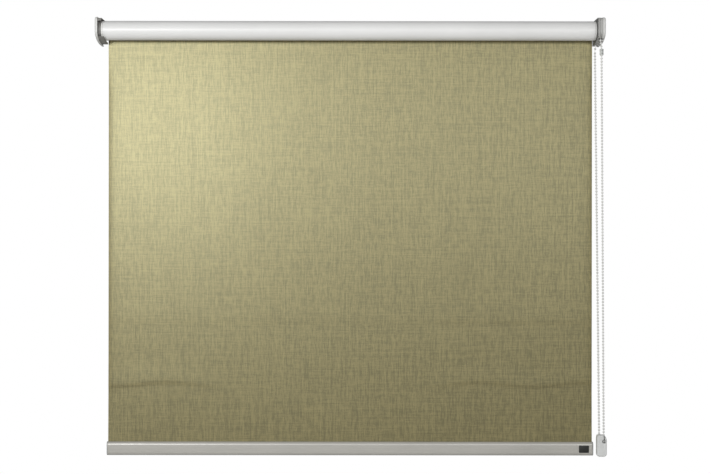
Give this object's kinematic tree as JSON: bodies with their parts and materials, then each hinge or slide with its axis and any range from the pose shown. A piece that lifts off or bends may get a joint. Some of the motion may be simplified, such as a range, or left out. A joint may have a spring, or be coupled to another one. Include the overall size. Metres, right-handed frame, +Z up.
{
  "type": "roller blind",
  "caption": "Chain-operated roller blind: bare roller tube in two wall brackets with covers, hanging woven sheet, oval bottom bar and a weighted bead chain",
  "frame": {"origin": "On the wall plane, midway between the two brackets, at the height of the roller's axis.", "axes": "+X along the roller to the control side, +Y into the wall, +Z up."},
  "size_m": [1.0088, 0.062, 0.8676],
  "materials": {
    "white_tube": "white coated aluminium tube, satin",
    "white_moulding": "white moulded plastic",
    "grey_cover": "silver-grey moulded plastic, satin",
    "dark_grey_moulding": "darker grey moulded plastic",
    "zinc_plate": "zinc plated steel",
    "spring_steel": "spring steel wire",
    "khaki_cloth": "khaki melange woven polyester with slubs, light filtering",
    "pale_tape": "double-sided adhesive tape",
    "bar_paint": "grey-beige coated aluminium, satin",
    "bar_cap": "grey moulded end cap",
    "dark_tag": "plain dark tag, blank",
    "bead_chain": "pale grey plastic beads on a polyester cord",
    "clear_moulding": "milky translucent plastic",
    "weight_moulding": "pale grey moulded plastic"
  },
  "bodies": {
    "mount": {"left_bracket": "dark_grey_moulding", "left_bracket_cover": "grey_cover", "idle_bush": "white_moulding", "right_bracket": "zinc_plate", "right_bracket_cover": "grey_cover", "chain_guard": "grey_cover", "drive_hub": "dark_grey_moulding", "hub_screw": "zinc_plate", "hub_clip": "spring_steel", "chain_over_wheel": "bead_chain", "chain_front_strand": "bead_chain", "chain_rear_strand": "bead_chain", "chain_lower_turn": "bead_chain", "weight_shell_front": "weight_moulding", "weight_shell_back": "weight_moulding", "weight_core": "zinc_plate", "weight_turn_post": "white_moulding"},
    "roller": {"roller_tube": "white_tube", "idle_end_plug": "white_moulding", "drive_adaptor": "white_moulding", "chain_wheel": "dark_grey_moulding", "brake_spring_1": "spring_steel", "brake_spring_2": "spring_steel", "brake_spring_3": "spring_steel", "fixing_tape": "pale_tape", "fabric_top_edge": "khaki_cloth"},
    "idle_pin": {"idle_pin": "zinc_plate", "pin_spring": "spring_steel"},
    "bottom_bar": {"bottom_bar_profile": "bar_paint", "fabric_spline": "white_moulding", "bar_end_cap_left": "bar_cap", "bar_end_cap_right": "bar_cap", "blank_tag": "dark_tag", "fabric_sheet": "khaki_cloth"},
    "connector": {"chain_connector": "clear_moulding"}
  },
  "joints": [
    {"name": "roller_spin", "type": "hinge", "parent": "mount", "child": "roller", "pos_m": [0, -0.032, 0], "axis": [1, 0, 0], "range_deg": [0, 2088]},
    {"name": "bar_slide", "type": "slide", "parent": "mount", "child": "bottom_bar", "axis": [0, 0, 1], "range_m": [0, 0.74], "deforming": ["fabric_sheet"]},
    {"name": "connector_slide", "type": "slide", "parent": "mount", "child": "connector", "axis": [0.0112, 0.0226, -0.9997], "range_m": [0, 0.6269]},
    {"name": "pin_press", "type": "slide", "parent": "roller", "child": "idle_pin", "axis": [1, 0, 0], "range_m": [0, 0.007], "stiffness_N_per_m": 700, "springref_m": -0.012, "deforming": ["pin_spring"]}
  ],
  "couplings": [
    {"joint": "bar_slide", "follows": "roller_spin", "m_per_rad": 0.0203},
    {"joint": "connector_slide", "follows": "roller_spin", "m_per_rad": 0.017189}
  ]
}
